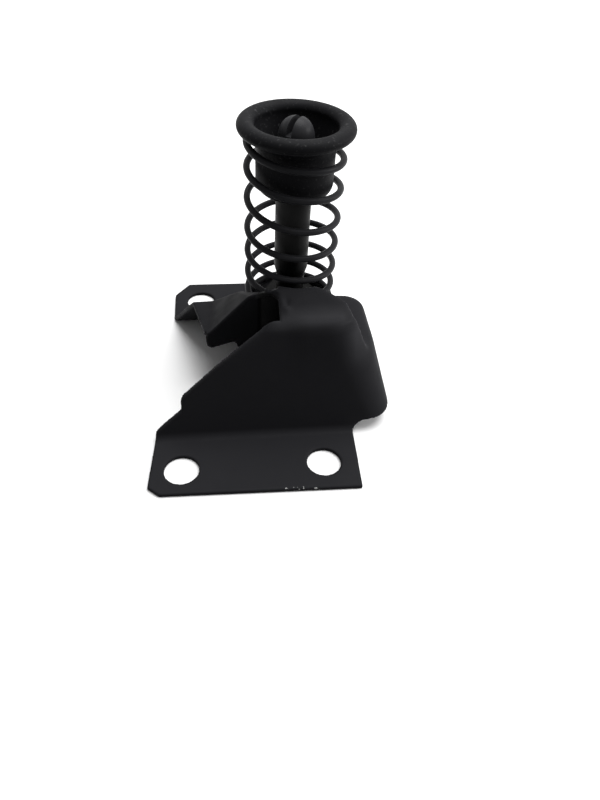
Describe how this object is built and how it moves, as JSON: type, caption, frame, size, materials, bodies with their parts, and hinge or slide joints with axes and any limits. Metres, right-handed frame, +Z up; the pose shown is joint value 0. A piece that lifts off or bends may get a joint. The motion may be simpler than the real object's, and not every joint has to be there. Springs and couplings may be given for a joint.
{
  "type": "bonnet latch striker",
  "caption": "Deep-drawn sheet bracket with bolt flanges and a catch slot, carrying an upright slotted striker pin with a coil spring under a sliding flared cup.",
  "frame": {"origin": "on the striker pin's axis, in the plane of the flanges' undersides", "axes": "+Z up along the pin towards its head, -Y towards the front flange with two holes, +X to the closed side of the hump"},
  "size_m": [0.1031, 0.1406, 0.1136],
  "materials": {
    "bracket": "satin",
    "striker_pin": "satin",
    "cup": "satin",
    "spring": "satin",
    "lock_nut": "satin",
    "weld_nut": "satin"
  },
  "bodies": {
    "mount": {"bracket": "bracket", "weld_nut": "weld_nut", "lock_nut": "lock_nut", "striker_pin": "striker_pin", "spring": "spring"},
    "plunger": {"cup": "cup"}
  },
  "joints": [
    {"name": "cup_slide", "type": "slide", "parent": "mount", "child": "plunger", "axis": [0, 0, -1], "range_m": [0, 0.03], "stiffness_N_per_m": 4000, "springref_m": -0.02, "deforming": ["spring"]}
  ]
}
